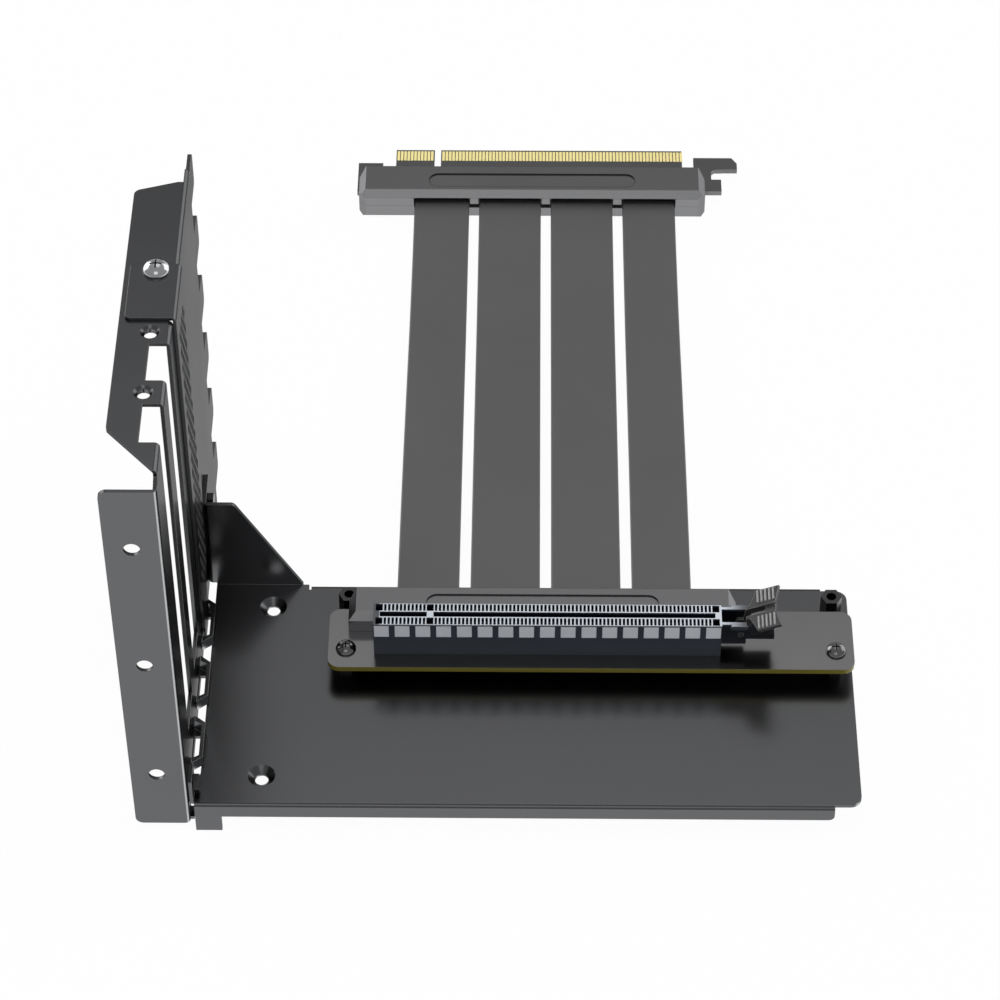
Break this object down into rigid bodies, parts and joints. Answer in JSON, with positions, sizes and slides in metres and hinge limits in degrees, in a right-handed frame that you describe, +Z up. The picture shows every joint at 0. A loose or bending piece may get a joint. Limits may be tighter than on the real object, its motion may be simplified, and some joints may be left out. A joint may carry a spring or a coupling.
{
  "type": "pcie extension cable",
  "caption": "Flat ribbon riser cable joining a keyed edge plug to a card socket on a folded sheet metal bracket with open and covered card slots.",
  "frame": {"origin": "on the standing surface, at the middle of the bracket's length and depth, measured without the free cable and plug", "axes": "+X along the socket from the slot plate to the base's free end, +Y from the socket towards the ribbons and the plug, +Z up"},
  "size_m": [0.1819, 0.2571, 0.1289],
  "materials": {
    "charcoal_paint": "fine matt powder coat on 1 mm steel",
    "bright_screw": "bright zinc",
    "dark_screw": "dark nickel",
    "nickel_standoff": "satin nickel",
    "board_laminate": "satin solder mask over glass fibre laminate",
    "socket_plastic": "satin moulded",
    "screening_metal": "satin",
    "contact_gold": "gold flash",
    "lever_plastic": "satin moulded",
    "ribbon_jacket": "smooth soft jacket",
    "shell_plastic": "fine texture, matt",
    "finger_gold": "gold plate"
  },
  "bodies": {
    "riser": {"base_plate": "charcoal_paint", "io_plate": "charcoal_paint", "slot_cover": "charcoal_paint", "cover_screw": "bright_screw", "tie_screw_rear": "dark_screw", "tie_screw_front": "dark_screw", "standoff_front_left": "nickel_standoff", "standoff_front_right": "nickel_standoff", "standoff_rear_left": "nickel_standoff", "standoff_rear_right": "nickel_standoff", "riser_board": "board_laminate", "board_screw_left": "dark_screw", "board_screw_right": "dark_screw", "socket_housing": "socket_plastic", "screening_pads": "screening_metal", "contacts_front": "contact_gold", "contacts_rear": "contact_gold", "ribbon_1": "ribbon_jacket", "ribbon_2": "ribbon_jacket", "ribbon_3": "ribbon_jacket", "ribbon_4": "ribbon_jacket", "riser_shell_upper": "shell_plastic", "riser_shell_lower": "shell_plastic", "plug_shell_upper": "shell_plastic", "plug_shell_lower": "shell_plastic", "plug_card": "board_laminate", "plug_fingers_upper": "finger_gold", "plug_fingers_lower": "finger_gold"},
    "lever": {"latch_lever": "lever_plastic"}
  },
  "joints": [
    {"name": "lever_hinge", "type": "hinge", "parent": "riser", "child": "lever", "pos_m": [0.0615, -0.009, 0.0237], "axis": [0, -1, 0], "range_deg": [0, 60]}
  ]
}
